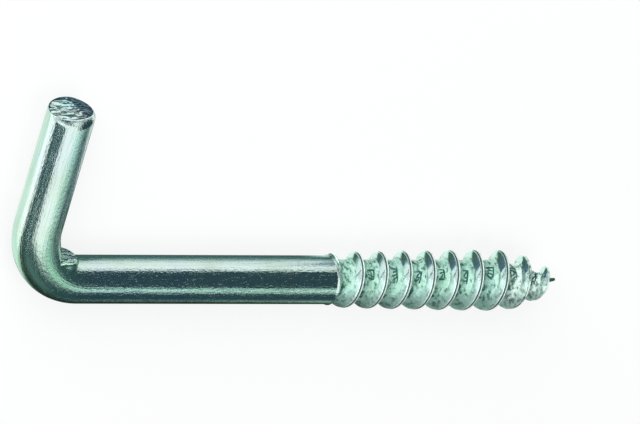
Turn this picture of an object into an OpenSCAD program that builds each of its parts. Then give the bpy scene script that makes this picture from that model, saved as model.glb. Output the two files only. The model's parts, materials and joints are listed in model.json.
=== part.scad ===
// Square screw hook: one length of round wire, bent once into an arm and a shank,
// with a coarse wood thread rolled on the shank's end.
// It lies on its side as it comes to rest: shank along X, arm along Y, floor at Z = 0.

/* [Wire] */
// Diameter of the round wire
wire_d = 6; // [5:0.1:7]
// Radius of the bend, to the middle of the wire
bend_r = 7.6; // [6.5:0.1:9]

/* [Hook] */
// Overall length, from the arm's outer side to the needle's end
overall_l = 79; // [72:1:110]
// Height of the arm, from the shank's outer side to the middle of its cut end
arm_h = 26.8; // [20:0.1:45]

/* [Cut end] */
// Lean of the sheared face away from the thread, in degrees
cut_lean = 8.5; // [0:0.5:12]
// Lean of the sheared face towards the upper side, in degrees
cut_roll = 4; // [0:0.5:8]
// Width of the edge that the shear rolled over, at its widest
cut_edge = 0.45; // [0.2:0.05:0.7]
// Length of the rolled edge along the arm
cut_edge_l = 1; // [0.4:0.1:1.6]

/* [Corner seat] */
// Rise of the flat seat in the inner corner above the shank's surface
seat_rise = 0.44; // [0.2:0.02:1]
// Length of the seat along the shank, from the arm's inner side
seat_l = 3.6; // [3:0.1:5]
// How far the seat's sides lie inside the wire's sides
seat_inset = 0.55; // [0.4:0.05:1]
// Width of the slanted rim round the seat
seat_edge = 0.35; // [0.1:0.05:0.6]

/* [Thread] */
// Hand of the thread: -1 is left, 1 is right
thread_hand = -1; // [-1, 1]
// Length of the thread, from the end of the plain shank to the needle's end
thread_l = 32.6; // [26:0.1:40]
// Distance from crest to crest
pitch = 3.4; // [2.8:0.1:4]
// Depth of the groove below the wire's surface
groove_depth = 0.48; // [0.2:0.02:0.8]
// Rise of the crest above the wire's surface, at the shank
crest_rise = 0.5; // [0.3:0.05:0.8]
// Rise of the crest above the wire's surface, where the point begins
crest_rise_end = 0.85; // [0.4:0.05:1.1]
// Width of the ridge at its foot
ridge_w = 2.1; // [1.6:0.1:2.6]
// Width of the narrow land along the crest
crest_w = 0.2; // [0.1:0.05:0.4]
// Length over which a ridge and a groove run out at the plain shank
run_out = 0.5; // [0.3:0.1:1]
// Turn of the first crest where it leaves the plain shank, in degrees
start_turn = 9; // [-90:1:90]

/* [Point] */
// Length of the tapered point, to the needle's end
point_l = 8.4; // [6:0.1:12]
// Diameter of the core where the thread stops
neck_d = 0.9; // [0.8:0.1:1.6]
// Rise of the crest above the core where the thread stops
last_rise = 1.15; // [0.6:0.05:1.4]
// Length of the needle beyond the thread
needle_l = 1.2; // [0.5:0.1:2]
// Diameter of the needle at its end
needle_d = 0.35; // [0.2:0.05:0.5]

/* [Hidden] */
$fn = 72;

wire_r = wire_d / 2;
tip_x = overall_l - wire_r;
axis_h = arm_h - wire_r;

// Places along the shank's axis, from the corner where it meets the arm's axis
shank_end = tip_x - thread_l;
point_from = tip_x - point_l;
thread_end = tip_x - needle_l;

// Radii of the groove's floor and the ridge's crest, as [place, radius] pairs.
// Inside the plain shank the threaded skin runs just under the wire's surface.
sunk_r = wire_r - 0.04;
crest_start = 0.7;
groove_r = wire_r - groove_depth;
neck_r = neck_d / 2;
groove_line = [
    [shank_end, sunk_r],
    [shank_end + run_out, groove_r],
    [point_from, groove_r],
    [thread_end, neck_r]
];
crest_line = [
    [shank_end, sunk_r],
    [shank_end + run_out, wire_r + crest_rise * crest_start],
    [shank_end + pitch, wire_r + crest_rise],
    [point_from, wire_r + crest_rise_end],
    [thread_end, neck_r + last_rise]
];

// Grid of the threaded surface: rows follow the helix, so that an edge runs along each crest.
// It starts inside the plain shank and is one closed skin, from the groove's floor to the crest.
sides = 32;
flank_steps = 3;
half_foot = ridge_w / pitch / 2;
half_land = crest_w / pitch / 2;
flank = [for (k = [0:flank_steps]) half_land + (half_foot - half_land) * k / flank_steps];
stations = concat([0], [for (k = [flank_steps:-1:0]) 0.5 - flank[k]], [for (off = flank) 0.5 + off]);
rows = len(stations);
turn_in = 0.45;
skin_start = shank_end - pitch / 2;
grid_from = skin_start - pitch;
turns = ceil((thread_end - grid_from) / pitch);
last = turns * rows;

// Share of the ridge's height at a place across one pitch: 0 on the groove's floor, 1 on the crest
function ridge(place) =
    let (off = abs(place - floor(place) - 0.5))
    off <= half_land ? 1
    : off >= half_foot ? 0
    : (1 + cos(180 * (off - half_land) / (half_foot - half_land))) / 2;

// Radius of the threaded surface at x, on the grid's side j
function thread_r(x, j) =
    let (low = lookup(x, groove_line), high = lookup(x, crest_line))
    low + (high - low) * ridge((x - grid_from) / pitch - j / sides);

// A point of the grid. A row that runs past an end of the skin turns in across it, and so closes it
function grid_point(i, j) =
    let (
        reach = grid_from + pitch * (floor(i / rows) + stations[i % rows] + j / sides),
        x = min(max(reach, skin_start), thread_end),
        r = thread_r(x, j) * (1 - turn_in * abs(reach - x) / pitch),
        turn = start_turn + thread_hand * 360 * j / sides
    )
    [x, r * cos(turn), r * sin(turn)];

// Index of a grid point. After a full turn a row meets the row one pitch further on
function id(i, j = 0) =
    j == sides ? id(i + rows)
    : i <= last ? i * sides + j
    : (last + 1) * sides + i - last - 1;

start_id = id(last + rows) + 1;
end_id = start_id + 1;

thread_points = concat(
    [for (i = [0:last], j = [0:sides - 1]) grid_point(i, j)],
    [for (i = [last + 1:last + rows]) grid_point(i, 0)],
    [[skin_start, 0, 0], [thread_end, 0, 0]]
);

// Triangles of a right-hand thread: the skin, then the two ends, each a fan and the step at its seam
thread_faces = concat(
    [for (i = [0:last - 1], j = [0:sides - 1]) [id(i, j), id(i + 1, j), id(i + 1, j + 1)]],
    [for (i = [0:last - 1], j = [0:sides - 1]) [id(i, j), id(i + 1, j + 1), id(i, j + 1)]],
    [for (j = [0:sides - 1]) [id(0, j), id(0, (j + 1) % sides), start_id]],
    [for (i = [0:rows - 1]) [id(i + 1), id(i), id(0, sides - 1)]],
    [for (j = [0:sides - 1]) [id(last, j + 1), j == 0 ? id(last + rows) : id(last, j), end_id]],
    [for (i = [last:last + rows - 1]) [id(last, 1), id(i), id(i + 1)]]
);

// A left-hand thread is the mirror image, so its triangles turn round
function turned(face) = thread_hand > 0 ? face : [face[2], face[1], face[0]];

// Tilt at which the arm's side and the lowest crest both touch the floor
rest_tilt = max([
    for (p = thread_points)
        let (far = norm([p.x, p.z]))
        p.x > wire_d && far > wire_r ? atan2(-p.z, p.x) - asin(wire_r / far) : 0
]);

// Sheared face at the arm's end: a circle a little smaller than the wire and set to one side,
// so that the rolled edge is widest on the thread's side and nearly fades out on the other
face_r = wire_r - cut_edge / 2;
face_shift = 0.4 * cut_edge;

// Box of the part as it lies, before it is centred
far_x = tip_x * cos(rest_tilt) + needle_d / 2 * sin(rest_tilt);
high_y = axis_h - face_shift * sin(cut_lean) + face_r * sqrt(1 - pow(cos(cut_lean) * cos(cut_roll), 2));
low_y = min([for (p = thread_points) p.y]);

// Inner corner: a seat with a round outer end that starts inside the shank's flank,
// and a wall that carries on the arm's inner side, just clear of it
seat_top = wire_r + seat_rise;
seat_half = wire_r - seat_inset;
flank_y = sqrt(pow(wire_r, 2) - pow(seat_half, 2));
seat_low = 0.8 * flank_y;
seat_round_x = wire_r + seat_l - seat_half;
wall_x = wire_r + 0.05;

// How far a cutter passes beyond what it cuts, and one solid runs into another
spare = 1;

module shank() {
    translate([bend_r, 0, 0])
        rotate([0, 90, 0])
            cylinder(h = shank_end - bend_r, r = wire_r);
}

// The bend, with its inner corner pressed square above the seat
module bend() {
    difference() {
        translate([bend_r, bend_r, 0])
            rotate([0, 0, 180])
                rotate_extrude(angle = 90)
                    translate([bend_r, 0])
                        circle(r = wire_r);
        translate([wall_x, seat_top, -wire_d])
            cube([bend_r, bend_r, 2 * wire_d]);
    }
}

// All that lies beyond the sheared face, and the edge that the shear rolled over
module shear() {
    translate([0, axis_h, 0])
        rotate([cut_roll - 90, 0, cut_lean])
            difference() {
                translate([0, 0, -cut_edge_l])
                    cylinder(h = wire_d, r = wire_d);
                translate([-face_shift, 0, -2 * cut_edge_l])
                    cylinder(h = 2 * cut_edge_l, r1 = face_r + 2 * cut_edge, r2 = face_r);
            }
}

module arm() {
    difference() {
        translate([0, bend_r, 0])
            rotate([-90, 0, 0])
                cylinder(h = axis_h - bend_r + wire_r, r = wire_r);
        shear();
    }
}

// Half of the seat's section, from its middle out to one side
module seat_section() {
    polygon([
        [0, seat_low],
        [seat_half, seat_low],
        [seat_half, seat_top - seat_edge],
        [seat_half - seat_edge, seat_top],
        [0, seat_top]
    ]);
}

// Flat seat that the bending tool squeezed up in the inner corner
module seat() {
    translate([seat_round_x, 0, 0]) {
        rotate([-90, 0, 0])
            rotate_extrude()
                seat_section();
        rotate([0, -90, 0])
            linear_extrude(seat_round_x - wire_r) {
                seat_section();
                mirror([1, 0])
                    seat_section();
            }
    }
}

module thread() {
    polyhedron(points = thread_points, faces = [for (face = thread_faces) turned(face)]);
}

// The needle starts inside the neck, a little slimmer than it
module needle() {
    translate([thread_end - spare, 0, 0])
        rotate([0, 90, 0])
            cylinder(h = needle_l + spare, r1 = 0.8 * neck_r, r2 = needle_d / 2);
}

module screw_hook() {
    color([0.72, 0.79, 0.77])
        translate([(wire_r - far_x) / 2, -(high_y + low_y) / 2, wire_r])
            rotate([0, -rest_tilt, 0]) {
                shank();
                bend();
                arm();
                seat();
                thread();
                needle();
            }
}

screw_hook();
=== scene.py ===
"""Square-bend screw hook: one round wire, bent once, with a wood thread rolled on its end.

The hook is one closed skin. It is worked out on the straight wire, as rings of points from the cut
end to the needle, and then bent. A straight point is (s, y, z): s along the wire, y towards the
inside of the bend, z square to the plane of the bend. A hook point is (a, b, c): a along the shank,
b along the arm, c the same as z. Both start where the axes of arm and shank meet, and on the shank
they are the same. These lengths are in millimetres, and in_frame() gives the frame's metres.
"""
import json
import math

import bpy
import numpy as np
from mathutils import Matrix, Vector


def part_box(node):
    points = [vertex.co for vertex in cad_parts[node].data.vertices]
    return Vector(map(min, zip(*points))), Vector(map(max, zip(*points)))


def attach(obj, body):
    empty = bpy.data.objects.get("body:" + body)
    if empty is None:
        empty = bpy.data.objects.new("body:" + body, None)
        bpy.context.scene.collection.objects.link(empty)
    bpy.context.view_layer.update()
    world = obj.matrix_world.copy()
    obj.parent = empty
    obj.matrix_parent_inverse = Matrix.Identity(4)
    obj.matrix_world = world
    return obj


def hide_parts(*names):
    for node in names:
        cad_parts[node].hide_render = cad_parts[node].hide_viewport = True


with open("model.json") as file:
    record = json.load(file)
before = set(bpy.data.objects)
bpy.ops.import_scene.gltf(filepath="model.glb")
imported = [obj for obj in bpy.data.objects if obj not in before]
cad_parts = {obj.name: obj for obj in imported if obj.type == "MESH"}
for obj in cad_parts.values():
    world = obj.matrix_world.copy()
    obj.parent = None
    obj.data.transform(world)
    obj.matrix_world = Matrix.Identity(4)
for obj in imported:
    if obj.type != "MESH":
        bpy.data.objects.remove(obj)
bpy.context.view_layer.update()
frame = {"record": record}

MM = 1000.0

# ---------------------------------------------------------------------------
# Sizes. The frame's mounts and box give the wire, the bend, the shank and the ends.
# ---------------------------------------------------------------------------
mounts = {mount["name"]: mount for mount in frame["record"]["mounts"]}
box_high = np.array(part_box("screw_hook")[1]) * MM
arm_middle = np.array(mounts["arm"]["pos_m"]) * MM
thread_start = np.array(mounts["thread"]["pos_m"]) * MM
along = np.array(mounts["thread"]["axis"], float)
along /= np.linalg.norm(along)
ORIGIN = np.array([arm_middle[0], thread_start[1], arm_middle[2]])
AXES = np.array([along, [0, 1, 0], [-along[2], 0, along[0]]])

WIRE_R = mounts["arm"]["dims"]["r_mm"]
BEND_R = arm_middle[1] - ORIGIN[1] - mounts["arm"]["dims"]["length_mm"] / 2
SHANK_END = (thread_start - ORIGIN) @ along
TIP = (box_high[0] - ORIGIN[0]) / along[0]
BEND_START = BEND_R * (1 - math.pi / 2)

# Sheared end of the arm: its lean, its roll, and the edge that the shear rolled over
CUT_LEAN = math.radians(8.5)
CUT_ROLL = math.radians(4)
CUT_EDGE = 0.45
CUT_EDGE_L = 1.3
CUT_EDGE_LEAST = 0.16
CUT_SLIP = 0.6
SLIP_SIDE = math.radians(100)
FACE_R = WIRE_R - CUT_EDGE / 2
FACE_SHIFT = 0.4 * CUT_EDGE
FACE_RISE = FACE_R * math.sqrt(1 - (math.cos(CUT_LEAN) * math.cos(CUT_ROLL)) ** 2)
ARM_H = box_high[1] - ORIGIN[1] + FACE_SHIFT * math.sin(CUT_LEAN) - FACE_RISE

# Flat seat that the bending tool pressed into the inner corner. SEAT_END is the middle of its
# round end. The last three round the edges where the surfaces of the corner meet.
SEAT_L = 3.6
SEAT_TOP = WIRE_R + 0.44
SEAT_HALF = WIRE_R - 0.55
SEAT_END = WIRE_R + SEAT_L - SEAT_HALF
SEAT_RIM = 0.35
WALL_A = WIRE_R + 0.05
CORNER_R = 0.12
NOTCH_R = 0.06
BLEND = 0.2

# Thread. The lines give radii at distances from the plain shank. The last turns are spread by
# SPREAD in all, and the skin is worn towards the point. Points closer than WELD to an end join it.
PITCH = 3.4
NEEDLE_L = 1.2
POINT_L = 8.4
THREAD_END = TIP - NEEDLE_L
THREAD_L = THREAD_END - SHANK_END
POINT_FROM = TIP - POINT_L
GROOVE_R = WIRE_R - 0.48
NECK_R = 0.45
RUN_OUT = 0.5
LAND_HEAD = 0.22
LAND_TIP = 0.12
FLANK_L = 0.66
SHOULDER = 0.3
SHOULDER_L = 0.8
TIP_FLANK = 0.75
SEAM_AT = -0.12
GROOVE_LINE = [(0, WIRE_R - 0.04), (RUN_OUT, GROOVE_R), (POINT_FROM - SHANK_END, GROOVE_R), (28, 1.62),
               (THREAD_L, NECK_R)]
CREST_LINE = [(0, WIRE_R), (RUN_OUT, 3.35), (PITCH, 3.5), (21.4, 3.79), (25.6, 3.72), (27.6, 3.2),
              (28.9, 2.8), (30.6, 2.1), (THREAD_L, 1.7)]
SPREAD, SPREAD_FROM, SPREAD_TO = 0.4, 19, 26
WORN_FROM, WORN_TO = 21.5, 26
WELD = 0.03

# Lip that the thread rolls push up at the shank's end: its rise, its place and its width
LIP_RISE, LIP_AT, LIP_WIDTH = 0.12, 0.19, 0.14

# Places round the wire, from the inside of the bend: where the rolls left their marks, where the
# flanks are burnished most, and where the grooves get the most painted shade
MARKS_SIDE = math.radians(45)
BURNISHED_SIDE = math.radians(10)
SHADED_SIDE = math.radians(130)
MARKED_TURNS = 10
MARK_DEPTH = 0.09

# Needle: distances from the thread's end and radii, from the blunt end of the thread to its tip
NEEDLE = [(0, NECK_R), (0, 0.38), (0, 0.31), (0.06, 0.27), (0.2, 0.25), (0.5, 0.24), (0.8, 0.22),
          (1.05, 0.2), (1.15, 0.15), (1.19, 0.08)]
NEEDLE_LEAN = 0.16
# How much the needle is painted darker, through the same mask as the painted shade at the ridges' feet
NEEDLE_DARKENING = 2.0

# Rows of each section of the skin. The lip's rows are distances from the shank's end.
FACE_ROWS = 36
EDGE_ROWS = 12
ARM_ROWS = 18
BEND_ROWS = 104
SHANK_ROWS = 18
LIP_ROWS = [0.56, 0.46, 0.38, 0.31, 0.25, 0.19, 0.13, 0.08, 0.04, 0]

# ---------------------------------------------------------------------------
# The grid. Columns run round the wire, and turn with the left-hand thread.
# ---------------------------------------------------------------------------
COLUMNS = 160
START_TURN = math.radians(9)
share = np.arange(COLUMNS) / COLUMNS
turn = START_TURN - 2 * math.pi * share
ROUND_Y, ROUND_Z = np.cos(turn), np.sin(turn)


def lumps(points, size, seed, waves=40):
    """Smooth random height of about 1 either way: a sum of waves some `size` long, each with its
    own heading, length and start."""
    rng = np.random.default_rng(seed)
    heading = rng.normal(size=(waves, 3))
    heading /= np.linalg.norm(heading, axis=1)[:, None]
    count = 2 * math.pi / (size * rng.uniform(0.7, 1.6, waves))
    start = rng.uniform(0, 2 * math.pi, waves)
    return np.sin(points @ (heading * count[:, None]).T + start).sum(-1) / math.sqrt(waves / 2)


def step(value, low, high):
    """0 below low, 1 above high, and a smooth S between them."""
    part = np.clip((value - low) / (high - low), 0, 1)
    return part * part * (3 - 2 * part)


def least(one, other, blend):
    """The smaller of two distances, with the edge between them rounded over `blend`."""
    near = np.clip(0.5 + (other - one) / (2 * blend), 0, 1)
    return other + (one - other) * near - blend * near * (1 - near)


def bend_wire(straight):
    """Straight points to hook points. Before BEND_START they lie along the arm, then they turn a
    quarter circle of radius BEND_R less y, and after it they lie along the shank."""
    s, y, z = np.moveaxis(straight, -1, 0)
    angle = np.clip((s - BEND_START) / BEND_R, 0, math.pi / 2)
    arm_part = np.minimum(s - BEND_START, 0)
    shank_part = np.maximum(s - BEND_R, 0)
    a = BEND_R - (BEND_R - y) * np.cos(angle) + shank_part
    b = BEND_R - (BEND_R - y) * np.sin(angle) - arm_part
    return np.stack([a, b, z], -1)


def in_frame(hook_points):
    """Hook points in millimetres to the frame's metres."""
    return (ORIGIN + hook_points @ AXES) / MM


def ring(s, radius):
    """Rings of straight points: s and radius are one value, or one for each row or column."""
    s, radius = np.broadcast_arrays(np.asarray(s, float), np.asarray(radius, float))
    full = np.broadcast_to(s, s.shape[:-1] + (COLUMNS,)) if s.ndim else s
    return np.stack(np.broadcast_arrays(full, radius * ROUND_Y, radius * ROUND_Z), -1)


# ---------------------------------------------------------------------------
# Sections of the wire
# ---------------------------------------------------------------------------
def cut_end():
    """Rings of the sheared face, from near its middle out to its rim, then of the rolled edge, and
    how dark the face is painted, as stain and painted shade on its broken side and round its rim.
    The face is a tilted disc with shear marks along y: waves across z that wander with y. One side
    drops below the rest, where the metal broke. Towards SLIP_SIDE the rim lies further in, by
    CUT_SLIP x cosine ^ 2, where the blade dragged the edge down. The edge leaves the rim steeply and
    dies out on the wire, as 1 - (1 - t) ^ 2.6."""
    centre = np.array([BEND_START + BEND_R - ARM_H, 0, 0])
    across = np.array([-math.sin(CUT_LEAN), math.cos(CUT_LEAN), 0])
    up = np.array([
        math.cos(CUT_LEAN) * math.sin(CUT_ROLL), math.sin(CUT_LEAN) * math.sin(CUT_ROLL),
        math.cos(CUT_ROLL)])
    out = np.array([
        -math.cos(CUT_LEAN) * math.cos(CUT_ROLL), -math.sin(CUT_LEAN) * math.cos(CUT_ROLL),
        math.sin(CUT_ROLL)])
    centre = centre - FACE_SHIFT * across
    reach = (np.arange(1, FACE_ROWS + 1) / FACE_ROWS)[:, None]
    rim_r = FACE_R - CUT_SLIP * np.clip(np.cos(turn - SLIP_SIDE), 0, 1) ** 2
    u = rim_r * reach * ROUND_Y
    v = rim_r * reach * ROUND_Z
    flat = np.stack([u, v, 0 * u], -1)
    wander = 0.16 * lumps(flat * [1, 0.6, 1], 1.9, 11) + 0.05 * lumps(flat, 0.5, 12) - 0.25 * u
    marks = np.sin(2 * math.pi * (v + wander) / 0.52)
    marks += 0.6 * np.sin(2 * math.pi * (v + wander) / 0.31 + 1)
    torn = lumps(flat, 0.42, 13)
    coarse = step(u, -0.9, 0.9)
    relief = 0.03 * marks * (1 - 0.5 * coarse) + 0.035 * torn * coarse + 0.03 * lumps(flat, 1.6, 14)
    drop = 0.14 * step(u - 0.15 * v, 1.2, 2.7)
    height = (relief * (1 - step(reach, 0.93, 1)) - drop)[..., None]
    face = centre + u[..., None] * across + v[..., None] * up + height * out
    rim = face[-1]
    gap = WIRE_R - np.hypot(rim[:, 1], rim[:, 2])
    depth = CUT_EDGE_LEAST + (CUT_EDGE_L - CUT_EDGE_LEAST) * gap / gap.max()
    part = (np.arange(1, EDGE_ROWS + 1) / EDGE_ROWS)[:, None]
    wall = ring(rim[:, 0] + part * depth, WIRE_R)
    ease = (1 - (1 - part) ** 2.6)[..., None]
    edge = rim + (wall - rim) * [0, 1, 1] * ease + (part * depth)[..., None] * [1, 0, 0]
    # Stain and painted shade: darker on the broken side and round the rim
    stain = step(u - 0.15 * v + 0.2 * torn, 0.85, 1.15)
    stain = np.maximum(stain, step(reach - 0.06 * v / FACE_R, 0.95, 1.0))
    return face, edge, stain


def plain_wire(start, end, rows):
    """Rings of straight wire, evenly spaced, from a ring or a place to a place."""
    part = (np.arange(1, rows + 1) / rows)[:, None]
    return ring(start + (end - start) * part, WIRE_R)


def corner_gap(hook, rho):
    """How far a point lies outside the bent wire with its pressed corner: outside the round wire or
    inside the square notch, and outside the seat, a slab with a round end and a round rim."""
    a, b, c = np.moveaxis(hook, -1, 0)
    notch = least(a - WALL_A, b - SEAT_TOP, CORNER_R)
    wire = -least(WIRE_R - rho, -notch, NOTCH_R)
    side = np.hypot(a - np.clip(a, WIRE_R, SEAT_END), c) - SEAT_HALF + SEAT_RIM
    lines = 0.012 * np.sin(2 * math.pi * (c + 0.05 * np.sin(1.7 * a)) / 0.34)
    rise = np.maximum(b - SEAT_TOP + lines, -b) + SEAT_RIM
    slab = np.hypot(np.maximum(side, 0), np.maximum(rise, 0)) - SEAT_RIM
    slab += np.minimum(np.maximum(side, rise), 0)
    return least(wire, slab, BLEND)


def bend():
    """Rings of the bend. Along each ray from the wire's middle, halving finds where the corner's
    gap is nothing, between radii of 1 and 4.8. The stretched and squeezed skin has a faint orange
    peel. Also gives how much the skin is worked, as half a sine wave along the bend, and which
    points lie on the seat."""
    part = (np.arange(1, BEND_ROWS + 1) / BEND_ROWS)[:, None]
    s = BEND_START + BEND_R * math.pi / 2 * part
    inside = np.full((BEND_ROWS, COLUMNS), 1.0)
    outside = np.full((BEND_ROWS, COLUMNS), 4.8)
    for _ in range(24):
        middle = (inside + outside) / 2
        solid = corner_gap(bend_wire(ring(s, middle)), middle) < 0
        inside = np.where(solid, middle, inside)
        outside = np.where(solid, outside, middle)
    worked = np.sin(math.pi * part)
    straight = ring(s, inside)
    a, b, c = np.moveaxis(bend_wire(straight), -1, 0)
    on_seat = np.hypot(a - np.clip(a, WIRE_R, SEAT_END), c) < SEAT_HALF
    pressed = step(b, SEAT_TOP - 0.06, SEAT_TOP - 0.02) * on_seat
    return ring(s, inside + 0.001 * worked * lumps(straight, 0.4, 21)), worked, pressed


def shank():
    """Rings of the plain shank. It ends in a small lip, a rounded bump some 0.4 mm long,
    which the thread rolls push up."""
    last = SHANK_END - np.array(LIP_ROWS)
    s = np.concatenate([np.linspace(BEND_R, SHANK_END - 0.8, SHANK_ROWS + 1)[1:], last])
    lip = LIP_RISE * np.exp(-(((s - SHANK_END + LIP_AT) / LIP_WIDTH) ** 2))
    return ring(s[:, None], (WIRE_R + lip)[:, None])


def ridge(off):
    """Height of the ridge from 0 to 1 at a distance from its crest, negative towards the shank.
    The crest is a narrow land with a seam along it, where the rolled metal closed. Its head side
    bulges down to a crease, at SHOULDER, as 1 - (1 - SHOULDER)(0.6 t + 0.4 t^2), and then runs out
    in a hollow, SHOULDER (1 - t)^1.6. Its tip side is hollow too, (1 - t)^1.4."""
    head = np.hypot(np.maximum(-LAND_HEAD - off, 0), 0.04) - 0.04
    tip = np.hypot(np.maximum(off - LAND_TIP, 0), 0.05) - 0.05
    part = head / FLANK_L
    bulge = 1 - (1 - SHOULDER) * part * (0.6 + 0.4 * part)
    run_out = SHOULDER * np.clip(1 - (head - FLANK_L) / SHOULDER_L, 0, 1) ** 1.6
    head_side = np.where(part < 1, bulge, run_out)
    tip_side = np.clip(1 - tip / TIP_FLANK, 0, 1) ** 1.4
    rounded = 0.03 * step(np.maximum(-LAND_HEAD - off, off - LAND_TIP), -0.12, 0)
    seam = 0.13 * np.exp(-(((off - SEAM_AT) / 0.08) ** 2))
    return np.clip(np.where(off < 0, head_side, tip_side) - rounded - seam, 0, 1)


# Rows of one pitch, as shares of it: from one share to another, so many. They are close together
# on the crest, which is at one half.
SPACING = [(0, 0.21, 7), (0.21, 0.27, 4), (0.27, 0.37, 3), (0.37, 0.55, 13), (0.55, 0.78, 8), (0.78, 1, 7)]
STATIONS = np.concatenate([np.linspace(low, high, rows, endpoint=False) for low, high, rows in SPACING])


def stroke(x, y, start, end, width):
    """1 on a straight stroke of a given width, and 0 off it."""
    (x0, y0), (x1, y1) = start, end
    run, rise = x1 - x0, y1 - y0
    part = np.clip(((x - x0) * run + (y - y0) * rise) / (run * run + rise * rise), 0, 1)
    distance = np.hypot(x - x0 - part * run, y - y0 - part * rise)
    return 1 - step(distance, width / 2 - 0.04, width / 2 + 0.04)


def die_marks(off, arc, turn_no):
    """Depth of the marks that the rolls left in the groove, as 0 to 1: in each turn two sides of a
    worn frame with three short strokes inside, each turn with its own."""
    depth = np.zeros(np.broadcast_shapes(np.shape(off), np.shape(arc)))
    rng = np.random.default_rng(31)
    for number in range(MARKED_TURNS):
        half, tall = rng.uniform(0.32, 0.44), rng.uniform(0.7, 1.0)
        middle, slant = rng.uniform(-0.35, 0.35), rng.uniform(-0.1, 0.25)
        x = off + 0.15 - slant * (arc - middle)
        y = arc - middle
        lines = [((-half, -tall), (half, -tall)), ((half, -tall), (half, tall * rng.uniform(0, 1)))]
        for at in (-0.5, 0.0, 0.5):
            lean = rng.uniform(-0.25, 0.25)
            length = half * rng.uniform(0.3, 0.9)
            lines.append(((-length, at * tall + lean), (length, at * tall - lean)))
        for start, end in lines:
            mark = stroke(x, y, start, end, rng.uniform(0.1, 0.17)) * rng.uniform(0.55, 1)
            depth = np.where(turn_no == number, np.maximum(depth, mark), depth)
    return depth


def thread():
    """Grid of the thread. Row by row it follows the helix: a point lies one pitch further on for
    each turn of its column, and the last turns are spread a little. The radius is the groove's
    floor plus the ridge. Also gives which points lie before the shoulder or past the end, where
    the grid is welded to a ring, and the masks."""
    first = SHANK_END - 1.5 * PITCH
    turns = math.ceil((THREAD_END - first) / PITCH) + 1
    row = (np.arange(turns + 1)[:, None] + STATIONS).ravel()[:, None]
    s = first + PITCH * (row + share)
    s += SPREAD * step(s - SHANK_END, SPREAD_FROM, SPREAD_TO)
    before = s < SHANK_END + WELD
    past = s > THREAD_END - WELD
    s = np.clip(s, SHANK_END, THREAD_END)
    on = s - SHANK_END
    floor_r = np.interp(on, *zip(*GROOVE_LINE))
    crest_r = np.interp(on, *zip(*CREST_LINE))
    off = (row - np.floor(row) - 0.5) * PITCH
    high = ridge(off)
    raw = ring(s, floor_r + (crest_r - floor_r) * high)
    from_groove = (row - np.round(row)) * PITCH
    angle = np.angle(np.exp(1j * (turn - MARKS_SIDE)))
    marks = die_marks(from_groove, angle * floor_r, np.round(row) - 2) * (1 - step(high, 0, 0.1))
    worn = step(on, WORN_FROM, WORN_TO)
    rough = (0.004 + 0.02 * worn) * lumps(raw, 0.8, 32) + (0.002 + 0.012 * worn) * lumps(raw, 0.4, 33)
    rough *= step(on, 0.2, 0.8) * (1 - 0.6 * high)
    radius = floor_r + (crest_r - floor_r) * high - MARK_DEPTH * marks + rough
    seam = np.exp(-(((off - SEAM_AT) / 0.11) ** 2)) * (1 - 0.75 * step(on, 24, 28))
    # Painted shade: the grooves are painted darker at the foot of each ridge's tip side, most on the wire's
    # lower side
    stained = 0.35 + 0.65 * step(np.cos(turn - SHADED_SIDE), 0.3, 0.85)
    foot = step(off, 0.15, 0.45) * (1 - step(off, 1.2, 1.7)) * stained
    burnished = 0.3 + 0.7 * step(np.cos(turn - BURNISHED_SIDE), 0.35, 0.75)
    flank = step(-off, 0.24, 0.34) * (1 - step(-off, 0.84, 0.94)) * burnished
    masks = {"crest": high, "seam": seam, "foot": foot, "flank": flank, "marks": marks, "worn": worn}
    return ring(s, radius), before, past, masks


def needle():
    """Rings of the thread's blunt end and of the needle that stands on it, up to its rounded end.
    The needle leans a little to the inside."""
    on, radius = np.array(NEEDLE).T[:, :, None]
    rings = ring(THREAD_END + on, radius)
    rings[..., 1] += NEEDLE_LEAN * step(THREAD_END + on, THREAD_END, TIP)
    return rings


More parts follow.
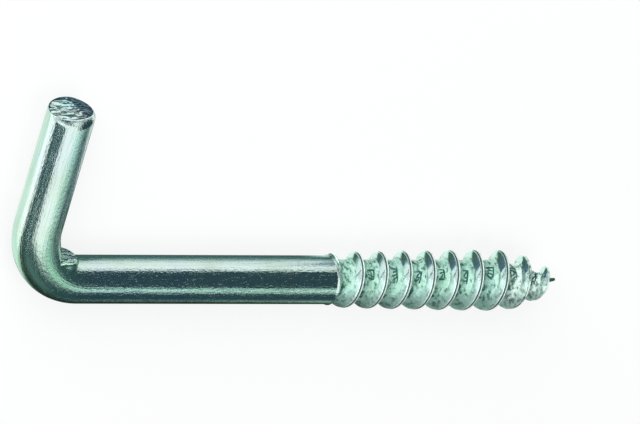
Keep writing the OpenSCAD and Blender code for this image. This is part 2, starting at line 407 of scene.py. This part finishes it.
# ---------------------------------------------------------------------------
# The skin
# ---------------------------------------------------------------------------
def build_hook():
    """Joins the sections into one closed mesh. Each row is a list of point numbers with its first
    repeated at the end, where a thread row meets the row one pitch on. Neighbouring rows are
    joined by four-sided faces, and a face whose corners are welded loses them."""
    face, edge, stain = cut_end()
    arm = plain_wire(edge[-1, :, 0], BEND_START, ARM_ROWS)
    corner, worked, pressed = bend()
    plain = shank()
    grid, before, past, thread_masks = thread()
    point = needle()
    middle = face[:1].mean(axis=1, keepdims=True)
    tip = np.array([[[TIP, NEEDLE_LEAN, 0]]])

    count = 0
    straight = []
    names = ["stain", "worked", "pressed", "crest", "seam", "foot", "flank", "marks", "worn"]
    masks = {name: [] for name in names}

    def add(points, **mask):
        nonlocal count
        straight.append(points.reshape(-1, 3))
        for name, values in masks.items():
            values.append(np.broadcast_to(mask.get(name, 0.0), points.shape[:2]).ravel())
        own = count + np.arange(len(straight[-1])).reshape(points.shape[:2])
        count += len(straight[-1])
        return own

    def closed(numbers):
        return np.concatenate([numbers, numbers[:, :1]], axis=1)

    pole = np.repeat(add(middle), COLUMNS + 1, axis=1)
    cut = closed(add(face, stain=stain))
    corner = add(corner, worked=worked, pressed=pressed)
    wire = closed(np.concatenate([add(edge), add(arm), corner, add(plain)]))
    last_ring = wire[-1, :-1]
    own = add(grid, **thread_masks)
    end = closed(add(point, foot=NEEDLE_DARKENING, worn=1.0))
    top = np.repeat(add(tip, foot=NEEDLE_DARKENING, worn=1.0), COLUMNS + 1, axis=1)
    own = np.where(before, last_ring, np.where(past, end[0, :-1], own))
    ahead = len(STATIONS)
    screw = np.concatenate([own[:-ahead], own[ahead:, :1]], axis=1)
    rows = np.concatenate([pole, cut, wire, screw, end, top])
    kinds = np.repeat([2, 0, 1], [len(cut), len(wire), len(screw) + len(end) + 1])[:, None]

    quads = np.stack([rows[:-1, :-1], rows[1:, :-1], rows[1:, 1:], rows[:-1, 1:]], -1).reshape(-1, 4)
    kinds = np.broadcast_to(kinds, (len(rows) - 1, COLUMNS)).ravel()
    same = quads == np.roll(quads, -1, axis=1)
    whole = quads[~same.any(1)]
    thirds = quads[same.sum(1) == 1]
    thirds = thirds[~same[same.sum(1) == 1]].reshape(-1, 3)
    kinds = np.concatenate([kinds[~same.any(1)], kinds[same.sum(1) == 1]])

    straight = np.concatenate(straight)
    used = np.zeros(count, bool)
    used[whole] = True
    used[thirds] = True
    number = np.cumsum(used) - 1
    mesh = bpy.data.meshes.new("hook_skin")
    points = in_frame(bend_wire(straight[used]))
    mesh.from_pydata(points, [], number[whole].tolist() + number[thirds].tolist())
    mesh.validate()
    mesh.update()
    hook = bpy.data.objects.new("hook_body", mesh)
    bpy.context.scene.collection.objects.link(hook)
    mesh.shade_smooth()
    mesh.set_sharp_from_angle(angle=math.radians(48))

    mesh.polygons.foreach_set("material_index", kinds)
    unbent = mesh.attributes.new("unbent", "FLOAT_VECTOR", "POINT")
    unbent.data.foreach_set("vector", straight[used].astype(np.float32).ravel())
    for name, values in masks.items():
        mask = mesh.attributes.new(name, "FLOAT", "POINT")
        mask.data.foreach_set("value", np.concatenate(values)[used].astype(np.float32))
    return hook


hook = build_hook()


# ---------------------------------------------------------------------------
# Nodes
# ---------------------------------------------------------------------------
def make(tree, kind, inputs=None, **settings):
    """A new node with its settings. Each input is set to a value or linked to a socket."""
    node = tree.nodes.new(kind)
    for name, value in settings.items():
        setattr(node, name, value)
    for name, value in (inputs or {}).items():
        if isinstance(value, bpy.types.NodeSocket):
            tree.links.new(value, node.inputs[name])
        else:
            node.inputs[name].default_value = value
    return node


def sum_of(tree, value, factor, added=0.0):
    """value x factor + added"""
    return make(tree, "ShaderNodeMath", {0: value, 1: factor, 2: added}, operation="MULTIPLY_ADD").outputs[0]


def product(tree, one, other):
    return make(tree, "ShaderNodeMath", {0: one, 1: other}, operation="MULTIPLY").outputs[0]


def larger(tree, one, other):
    return make(tree, "ShaderNodeMath", {0: one, 1: other}, operation="MAXIMUM").outputs[0]


def mix(tree, factor, one, other):
    """A mix of two values."""
    return make(tree, "ShaderNodeMix", {0: factor, 2: one, 3: other}).outputs[0]


def stretch(tree, place, across):
    """A place measured in cells: divided by the cell's length, width and height."""
    return make(tree, "ShaderNodeVectorMath", {0: place, 1: across}, operation="DIVIDE").outputs[0]


def noise(tree, place, detail=2.0, roughness=0.5, scale=1.0):
    sockets = {"Vector": place, "Scale": scale, "Detail": detail, "Roughness": roughness}
    return make(tree, "ShaderNodeTexNoise", sockets).outputs["Fac"]


def band(tree, value, low, high, out_low=0.0, out_high=1.0):
    """out_low below low, out_high above high, and a smooth S between them."""
    sockets = {"Value": value, "From Min": low, "From Max": high, "To Min": out_low, "To Max": out_high}
    return make(tree, "ShaderNodeMapRange", sockets, interpolation_type="SMOOTHSTEP").outputs["Result"]


def blend(tree, factor, one, other):
    """A mix of two colours."""
    sockets = {0: factor, 6: one, 7: other}
    return make(tree, "ShaderNodeMix", sockets, data_type="RGBA").outputs[2]


def new_group(name, inputs, outputs):
    """A node group with its named sockets. Gives its tree, its inputs and its output node."""
    tree = bpy.data.node_groups.new(name, "ShaderNodeTree")
    for socket, kind, value in inputs:
        added = tree.interface.new_socket(socket, in_out="INPUT", socket_type="NodeSocket" + kind)
        added.default_value = value
    for socket, kind in outputs:
        tree.interface.new_socket(socket, in_out="OUTPUT", socket_type="NodeSocket" + kind)
    return tree, tree.nodes.new("NodeGroupInput").outputs, tree.nodes.new("NodeGroupOutput")


# ---------------------------------------------------------------------------
# Effects. Places are on the straight wire, in millimetres: along it, then across it.
# ---------------------------------------------------------------------------
def drawn_lines():
    """Long fine lines along the wire, as the drawing die leaves them, and a few bright dashes."""
    inputs = [("Place", "Vector", (0, 0, 0)), ("Length", "Float", 12.0), ("Width", "Float", 0.3)]
    tree, given, out = new_group("drawn_lines", inputs, [("Height", "Float"), ("Dashes", "Float")])
    size = {0: given["Length"], 1: given["Width"], 2: given["Width"]}
    cell = make(tree, "ShaderNodeCombineXYZ", size).outputs[0]
    cells = stretch(tree, given["Place"], cell)
    tree.links.new(noise(tree, cells, 3, 0.6), out.inputs["Height"])
    moved = make(tree, "ShaderNodeVectorMath", {0: cells, 1: (7.3, 2.1, 5.7)}).outputs[0]
    tree.links.new(band(tree, noise(tree, moved, 1, 0.4), 0.62, 0.72), out.inputs["Dashes"])
    return tree


def speckle():
    """Fine grain, and the pits where it is deepest."""
    inputs = [("Place", "Vector", (0, 0, 0)), ("Length", "Float", 0.3), ("Width", "Float", 0.3)]
    tree, given, out = new_group("speckle", inputs, [("Height", "Float"), ("Pits", "Float")])
    size = {0: given["Length"], 1: given["Width"], 2: given["Width"]}
    cell = make(tree, "ShaderNodeCombineXYZ", size).outputs[0]
    grain = noise(tree, stretch(tree, given["Place"], cell), 2, 0.7)
    tree.links.new(grain, out.inputs["Height"])
    tree.links.new(band(tree, grain, 0.40, 0.28), out.inputs["Pits"])
    return tree


def plate_tone():
    """Colour of the zinc plate: the metal's own, cooler in some patches and yellower in others, and
    darker under a dull film, which is thicker where Film is high."""
    inputs = [("Place", "Vector", (0, 0, 0)), ("Metal", "Color", (0.7, 0.85, 0.77, 1)),
              ("Size", "Float", 5.0), ("Film", "Float", 0.3)]
    tree, given, out = new_group("plate_tone", inputs, [("Color", "Color"), ("Dull", "Float")])
    cells = stretch(tree, given["Place"], given["Size"])
    patches = noise(tree, cells, 3, 0.55)
    moved = make(tree, "ShaderNodeVectorMath", {0: cells, 1: (3.1, 8.4, 1.9)}).outputs[0]
    other_patches = noise(tree, moved, 4, 0.6)
    cool = blend(tree, band(tree, patches, 0.38, 0.62), (1, 1, 1, 1), (0.96, 0.96, 1.03, 1))
    warm = blend(tree, band(tree, other_patches, 0.50, 0.72), cool, (0.99, 0.99, 0.90, 1))
    dull = sum_of(tree, band(tree, other_patches, 0.42, 0.66), given["Film"])
    filmed = blend(tree, dull, warm, (0.55, 0.62, 0.60, 1))
    sockets = {0: 1.0, 6: given["Metal"], 7: filmed}
    whole = make(tree, "ShaderNodeMix", sockets, data_type="RGBA", blend_type="MULTIPLY")
    tree.links.new(whole.outputs[2], out.inputs["Color"])
    tree.links.new(dull, out.inputs["Dull"])
    return tree


def shear_lines():
    """Wavy torn lines along y, as a blade leaves them: 0 on the bright metal, 1 in a dark line."""
    inputs = [("Place", "Vector", (0, 0, 0)), ("Spacing", "Float", 0.4)]
    tree, given, out = new_group("shear_lines", inputs, [("Lines", "Float")])
    cells = stretch(tree, given["Place"], given["Spacing"])
    wander = noise(tree, stretch(tree, cells, (3, 3, 3)), 2, 0.5)
    spot = make(tree, "ShaderNodeSeparateXYZ", {0: cells}).outputs
    swerve = sum_of(tree, wander, 4.0, spot[2])
    drift = make(tree, "ShaderNodeCombineXYZ", {0: sum_of(tree, spot[1], 0.11), 1: swerve, 2: 0.0}).outputs[0]
    tree.links.new(band(tree, noise(tree, drift, 2, 0.6), 0.46, 0.54), out.inputs["Lines"])
    return tree


EFFECTS = {"lines": drawn_lines(), "speckle": speckle(), "tone": plate_tone(), "shear": shear_lines()}


def effect(tree, name, **inputs):
    """A shared effect placed in a material, with this material's own values."""
    return make(tree, "ShaderNodeGroup", inputs, node_tree=EFFECTS[name]).outputs


def metal(name):
    """A bare metal material, its shader, and the place on the straight wire."""
    material = bpy.data.materials.new(name)
    material.use_nodes = True
    tree = material.node_tree
    shader = tree.nodes["Principled BSDF"]
    shader.inputs["Metallic"].default_value = 1
    place = make(tree, "ShaderNodeAttribute", attribute_name="unbent").outputs["Vector"]
    return material, tree, shader, place


def mask(tree, name):
    """One of the skin's own masks: 0 to 1, except on the needle, where the mask of painted shade at
    the ridges' feet is 2, to paint it darker.
    """
    return make(tree, "ShaderNodeAttribute", attribute_name=name).outputs["Fac"]


def finish_metal(tree, shader, colour, roughness, height, depth):
    """Joins colour and roughness to the shader, and height to its normal, `depth` metres deep."""
    bump = make(tree, "ShaderNodeBump", {"Height": height, "Distance": depth})
    tree.links.new(colour, shader.inputs["Base Color"])
    tree.links.new(roughness, shader.inputs["Roughness"])
    tree.links.new(bump.outputs["Normal"], shader.inputs["Normal"])


# ---------------------------------------------------------------------------
# Materials
# ---------------------------------------------------------------------------
def drawn_wire():
    """Bright drawn wire: long lines, a fine grain and a few dull patches. The worked skin of the
    bend is greener and matter, and the pressed seat is less metallic, with its torn lines painted
    dark as painted shade."""
    material, tree, shader, place = metal("drawn_wire")
    tone = effect(tree, "tone", Place=place, Metal=(0.70, 0.86, 0.78, 1), Size=6.0, Film=0.18)
    lines = effect(tree, "lines", Place=place, Length=30.0, Width=0.25)
    scratches = effect(tree, "lines", Place=place, Length=6.0, Width=0.14)
    grain = effect(tree, "speckle", Place=place, Length=0.45, Width=0.3)
    torn = effect(tree, "shear", Place=place, Spacing=0.3)
    scuffs = effect(tree, "speckle", Place=place, Length=0.6, Width=0.12)
    seat, worked = mask(tree, "pressed"), mask(tree, "worked")
    # Painted shade: the seat's torn lines are painted dark blue
    shaded_seat_lines = product(tree, seat, torn["Lines"])
    colour = blend(tree, worked, tone["Color"], (0.62, 0.92, 0.72, 1))
    colour = blend(tree, shaded_seat_lines, colour, (0.05, 0.10, 0.16, 1))
    streaks = band(tree, scratches["Height"], 0.50, 0.60, 0.0, 0.25)
    colour = blend(tree, streaks, colour, (0.26, 0.40, 0.42, 1))
    roughness = sum_of(tree, lines["Height"], 0.10, 0.06)
    roughness = sum_of(tree, lines["Dashes"], -0.05, roughness)
    roughness = sum_of(tree, scuffs["Pits"], 0.35, roughness)
    roughness = sum_of(tree, worked, 0.14, roughness)
    roughness = sum_of(tree, tone["Dull"], 0.25, roughness)
    height = sum_of(tree, lines["Height"], 0.4, sum_of(tree, scratches["Height"], 0.6))
    height = sum_of(tree, grain["Height"], 1.0, height)
    tree.links.new(sum_of(tree, seat, -0.5, 1.0), shader.inputs["Metallic"])
    finish_metal(tree, shader, colour, roughness, height, 0.00003)
    return material


def rolled_thread():
    """Metal that the rolls have worked: blotchy and stained in the grooves, with painted shade at the foot
    of each ridge's tip side, most on the wire's lower side, with the rolls' dark marks, burnished on the
    head side, and lighter along the crest on both sides of its seam, as worn polish and a painted
    highlight, with painted shade in the seam."""
    material, tree, shader, place = metal("rolled_thread")
    tone = effect(tree, "tone", Place=place, Metal=(0.43, 0.71, 0.57, 1), Size=1.0, Film=0.65)
    lines = effect(tree, "lines", Place=place, Length=0.4, Width=0.75)
    grain = effect(tree, "speckle", Place=place, Length=0.28, Width=0.4)
    flank, worn, foot = mask(tree, "flank"), mask(tree, "worn"), mask(tree, "foot")
    # Lighter along the crest: worn polish and a painted highlight
    polish_and_highlight = band(tree, sum_of(tree, worn, -0.12, mask(tree, "crest")), 0.84, 0.95)
    # Random blotches and stains, with painted shade added at the foot of each ridge's tip side
    blotches_and_shade = sum_of(tree, foot, 0.12, sum_of(tree, worn, 0.03, lines["Height"]))
    grime_and_shade = sum_of(tree, foot, 0.24, band(tree, blotches_and_shade, 0.49, 0.67, 0.0, 0.9))
    stains = band(tree, sum_of(tree, foot, 0.25, lines["Height"]), 0.68, 0.77, 0.0, 0.88)
    sunk = band(tree, mask(tree, "marks"), 0.03, 0.3)
    dark = larger(tree, sunk, larger(tree, stains, grime_and_shade))
    colour = blend(tree, sum_of(tree, worn, 0.7), tone["Color"], (0.80, 0.93, 0.86, 1))
    colour = blend(tree, dark, colour, (0.02, 0.10, 0.075, 1))
    colour = blend(tree, flank, colour, (0.63, 0.86, 0.79, 1))
    colour = blend(tree, polish_and_highlight, colour, (0.84, 0.98, 0.92, 1))
    # Painted shade: the seam along the crest is painted dark
    colour = blend(tree, band(tree, mask(tree, "seam"), 0.15, 0.6, 0.0, 0.95), colour, (0.03, 0.08, 0.08, 1))
    roughness = sum_of(tree, tone["Dull"], 0.12, 0.24)
    roughness = sum_of(tree, flank, -0.14, roughness)
    metallic = sum_of(tree, flank, 0.6, 0.36)
    tree.links.new(metallic, shader.inputs["Metallic"])
    height = sum_of(tree, grain["Height"], 0.6, lines["Height"])
    height = product(tree, height, sum_of(tree, flank, -0.85, 1.0))
    finish_metal(tree, shader, colour, roughness, height, 0.0001)
    return material


def sheared_face():
    """Torn metal of the cut end: bright and dark lines, with a dark side where the blade broke
    through and a dark rim, both stain and painted shade."""
    material, tree, shader, place = metal("sheared_face")
    tone = effect(tree, "tone", Place=place, Metal=(0.88, 1.0, 0.94, 1), Size=1.2, Film=0.3)
    level = make(tree, "ShaderNodeMapping", {"Vector": place, "Rotation": (-0.25, 0, 0)}).outputs[0]
    torn = effect(tree, "shear", Place=level, Spacing=0.27)
    grain = effect(tree, "speckle", Place=place, Length=0.22, Width=0.22)
    # Stain and painted shade: the broken side and the rim are painted dark, along with the torn lines
    dark = sum_of(tree, mask(tree, "stain"), 0.8, sum_of(tree, torn["Lines"], 0.9))
    dark = make(tree, "ShaderNodeMath", {0: dark, 1: 0.97}, operation="MINIMUM").outputs[0]
    colour = blend(tree, dark, tone["Color"], (0.01, 0.035, 0.06, 1))
    shader.inputs["Specular Tint"].default_value = (0.35, 0.5, 0.6, 1)
    roughness = sum_of(tree, tone["Dull"], 0.3, 0.34)
    height = sum_of(tree, grain["Height"], 0.4, torn["Lines"])
    finish_metal(tree, shader, colour, roughness, height, -0.00004)
    return material


for material in (drawn_wire(), rolled_thread(), sheared_face()):
    hook.data.materials.append(material)
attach(hook, "root")
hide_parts("screw_hook")


# ---------------------------------------------------------------------------
# Floor, lights and camera
# ---------------------------------------------------------------------------
# Half of the floor's width, in metres, and the glow's share in what the camera sees of the floor
FLOOR_HALF = 12.0
GLOW_SHARE = 0.86

# The hook's middle, from which the lights are placed, in metres
MIDDLE = Vector((0, 0, 0.003))

# Camera: its angles in degrees, and in millimetres the hook point it looks at and its distance
LOOK_ROUND, LOOK_DOWN, ROLL = 34.59, 25.46, 16.80
AIM = np.array([40.84, 8.28, -2.33])
DISTANCE = 2183


def mirrored_floor(tree, openness):
    """Painted shade and light on the floor, which only the metal sees: its brightness and tint by
    place, as the metal's reflections show it. It has a painted shadow under the hook, teal close to
    it, and painted shade, dark and green, beyond the shank, on the side away from the arm. Along the
    thread it is pale right beneath, then dark green, then dark blue, and pale again further out. It
    is bright past the arm's end and along the arm's outer side, where it fades further out. x and y
    are the frame's, in millimetres from where the axes of arm and shank meet."""
    spot = make(tree, "ShaderNodeTexCoord").outputs["Object"]
    metres = make(tree, "ShaderNodeSeparateXYZ", {0: spot}).outputs
    x = sum_of(tree, metres[0], MM, -ORIGIN[0])
    y = sum_of(tree, metres[1], MM, -ORIGIN[1])
    arm_side = band(tree, y, -7, -2)
    beneath = band(tree, y, 3.8, 3.2)
    beside = band(tree, y, 5, 7.5)
    further_out = band(tree, y, 17, 36)
    along_thread = band(tree, sum_of(tree, band(tree, y, 4.5, 7), -5.0, x), 40, 46)
    past_end = band(tree, x, 9, 8, 0.0, band(tree, y, 23.5, 25))
    outer_side = band(tree, x, 0, -2)

    # Painted contact shadow: the glow darkens close to the hook
    light = band(tree, openness, 0.80, 0.92, 0.14, 1.0)
    by_thread = mix(tree, larger(tree, further_out, beneath), mix(tree, beside, 0.09, 0.17), 1.05)
    light = mix(tree, along_thread, light, by_thread)
    light = mix(tree, past_end, light, 1.1)
    light = mix(tree, outer_side, light, 1.0)
    light = product(tree, light, mix(tree, arm_side, band(tree, x, 50, 58, 0.035, 0.42), 1.0))
    light = product(tree, light, band(tree, x, -24, -50, band(tree, x, -6.8, -7.8, 0.97, 1.4), 0.3))

    tint = blend(tree, band(tree, openness, 0.80, 0.95), (0.5, 1, 1, 1), (1, 1, 1, 1))
    tint = blend(tree, arm_side, (0.55, 1, 0.8, 1), tint)
    tint = blend(tree, product(tree, outer_side, band(tree, x, -7.8, -6.8)), tint, (0.86, 1, 0.91, 1))
    cool = blend(tree, beside, (0.35, 1, 0.75, 1), (0.30, 0.62, 1, 1))
    cool = blend(tree, further_out, cool, (1, 1, 1, 1))
    cool = blend(tree, beneath, cool, (0.92, 1, 0.95, 1))
    cool = blend(tree, band(tree, y, -4, -2), (0.66, 1, 0.82, 1), cool)
    return light, blend(tree, along_thread, tint, cool)


def pale_floor():
    """A wide plain floor. The camera sees an even pale glow, with a painted shadow that makes it a
    little darker close to the hook, and through it some matt paint with the hook's shadow. The metal
    sees the glow alone, with the painted shade and light of mirrored_floor. Openness, 1 in the open
    and less near the hook, is measured towards the arm's outer side, and sets the painted shadow."""
    corners = [(x * FLOOR_HALF, y * FLOOR_HALF, 0) for x, y in ((-1, -1), (1, -1), (1, 1), (-1, 1))]
    mesh = bpy.data.meshes.new("floor")
    mesh.from_pydata(corners, [], [(0, 1, 2, 3)])
    floor = bpy.data.objects.new("floor", mesh)
    bpy.context.scene.collection.objects.link(floor)
    paint = bpy.data.materials.new("floor_paint")
    paint.use_nodes = True
    tree = paint.node_tree
    tree.nodes.clear()
    tilted = make(tree, "ShaderNodeCombineXYZ", {0: -0.6, 1: 0.0, 2: 0.8}).outputs[0]
    sockets = {"Distance": 0.010, "Normal": tilted}
    openness = make(tree, "ShaderNodeAmbientOcclusion", sockets, samples=12).outputs["AO"]
    path = make(tree, "ShaderNodeLightPath").outputs
    light, tint = mirrored_floor(tree, openness)
    # Painted shadow for the camera: the glow is a little darker close to the hook
    light = mix(tree, path["Is Camera Ray"], light, band(tree, openness, 0.30, 1.0, 0.96, 0.99))
    tint = blend(tree, path["Is Camera Ray"], tint, (1, 1, 1, 1))
    glow = make(tree, "ShaderNodeEmission", {"Color": tint, "Strength": light})
    matt = make(tree, "ShaderNodeBsdfDiffuse", {"Color": (0.9, 0.91, 0.905, 1)})
    part = sum_of(tree, path["Is Camera Ray"], GLOW_SHARE, path["Is Glossy Ray"])
    mixed = make(tree, "ShaderNodeMixShader", {0: part, 1: matt.outputs[0], 2: glow.outputs[0]})
    make(tree, "ShaderNodeOutputMaterial", {"Surface": mixed.outputs[0]})
    mesh.materials.append(paint)


def surroundings():
    """The room: dim teal for the metal, and pale where the camera looks past the floor."""
    world = bpy.data.worlds.new("room")
    bpy.context.scene.world = world
    world.use_nodes = True
    tree = world.node_tree
    tree.nodes.clear()
    dim = make(tree, "ShaderNodeBackground", {"Color": (0.030, 0.064, 0.082, 1)})
    pale = make(tree, "ShaderNodeBackground", {"Color": (0.9, 0.92, 0.91, 1)})
    seen = make(tree, "ShaderNodeLightPath").outputs["Is Camera Ray"]
    room = make(tree, "ShaderNodeMixShader", {0: seen, 1: dim.outputs[0], 2: pale.outputs[0]})
    make(tree, "ShaderNodeOutputWorld", {"Surface": room.outputs[0]})


def panel(name, centre, facing, width, height, brightness, colour=(1, 1, 1), mirrored=True):
    """A soft rectangular light of an even brightness, where 1 is white, that faces along
    `facing`. A mirrored one is what the metal shows and leaves the floor alone, and the others
    light the floor and don't show in the metal."""
    light = bpy.data.lights.new(name, "AREA")
    light.shape = "RECTANGLE"
    light.size = width
    light.size_y = height
    light.energy = brightness * math.pi * width * height
    light.color = colour
    lamp = bpy.data.objects.new(name, light)
    turned = Vector(facing).to_track_quat("-Z", "Y").to_matrix().to_4x4()
    lamp.matrix_world = Matrix.Translation(MIDDLE + Vector(centre)) @ turned
    lamp.visible_glossy = mirrored
    lamp.visible_diffuse = not mirrored
    bpy.context.scene.collection.objects.link(lamp)
    return lamp


def overhead(name, x_span, y_span, brightness, colour=(1, 1, 1), height=0.5):
    """A level panel above the hook. Its spans are in heights, seen from the hook."""
    (x0, x1), (y0, y1) = x_span, y_span
    centre = Vector(((x0 + x1) / 2, (y0 + y1) / 2, 1)) * height
    return panel(name, centre, (0, 0, -1), (x1 - x0) * height, (y1 - y0) * height, brightness, colour)


def look_at_hook():
    """A long lens, which sees the hook almost without perspective. Think of the hook stood on its
    shank, arm up: the camera stands LOOK_ROUND from square on, towards the arm's outer side, looks
    down by LOOK_DOWN, and is rolled so that the shank is level in its view."""
    around, down, roll = (math.radians(angle) for angle in (LOOK_ROUND, LOOK_DOWN, ROLL))
    back = np.array([-math.sin(around) * math.cos(down), math.sin(down), math.cos(around) * math.cos(down)])
    level = np.array([math.cos(around), 0, math.sin(around)])
    upright = np.cross(back, level)
    right = math.cos(roll) * level + math.sin(roll) * upright
    up = math.cos(roll) * upright - math.sin(roll) * level
    lens = bpy.data.cameras.new("camera")
    lens.lens, lens.sensor_width = 1000, 36
    lens.clip_start, lens.clip_end = 0.1, 50
    camera = bpy.data.objects.new("camera", lens)
    place = Matrix((np.array([right, up, back]) @ AXES).T.tolist()).to_4x4()
    place.translation = Vector(in_frame(AIM + DISTANCE * back))
    camera.matrix_world = place
    bpy.context.scene.collection.objects.link(camera)
    bpy.context.scene.camera = camera


pale_floor()
surroundings()
overhead("softbox", (-0.88, 0.28), (-0.8, 0.8), 1.1, (1, 0.97, 0.96))
overhead("softbox_side", (0.28, 0.95), (-0.66, -0.32), 0.9, (0.74, 1, 0.87))
overhead("softbox_far", (0.95, 2.0), (-1.1, -0.4), 0.36, (0.74, 1, 0.87))
panel("card_inside", (0.35, 0.6, 0.09), (-0.35, -1, 0), 0.7, 0.18, 1.0)
panel("card_left", (-0.6, -0.25, 0.25), (1, 0.42, 0), 0.5, 0.46, 0.055, (0.5, 1, 0.85))
panel("strip_left", (-0.58, -0.27, 0.24), (1, 0.45, -0.2), 0.5, 0.01, 2.5)
panel("card_thread", (-0.46, 0.42, 0.24), (1, -0.91, -0.4), 0.5, 0.4, 0.75)
overhead("softbox_thread", (-2.9, -0.9), (-0.3, 0.9), 1.0)
panel("card_low", (-0.2, -0.62, 0.15), (0.3, 1, -0.2), 0.55, 0.3, 0.1, (0.7, 1, 0.85))
panel("card_right", (0.6, -0.28, 0.06), (-1, 0.45, 0), 0.25, 0.12, 0.35, (0.85, 1, 0.92))
panel("card_far", (-0.62, 0.08, 0.11), (1, -0.1, -0.15), 0.5, 0.28, 0.75)
panel("card_end", (0.07, 0.55, 0.38), (-0.1, -0.8, -0.55), 0.28, 0.36, 1.0)
panel("fill", (0.18, -0.18, 0.54), (-0.3, 0.3, -0.9), 0.5, 0.5, 2.8, mirrored=False)
panel("fill_back", (-0.32, 0.44, 0.26), (0.32, -0.44, -0.26), 0.5, 0.5, 7.8, mirrored=False)
look_at_hook()

bpy.context.scene.view_settings.view_transform = "Standard"
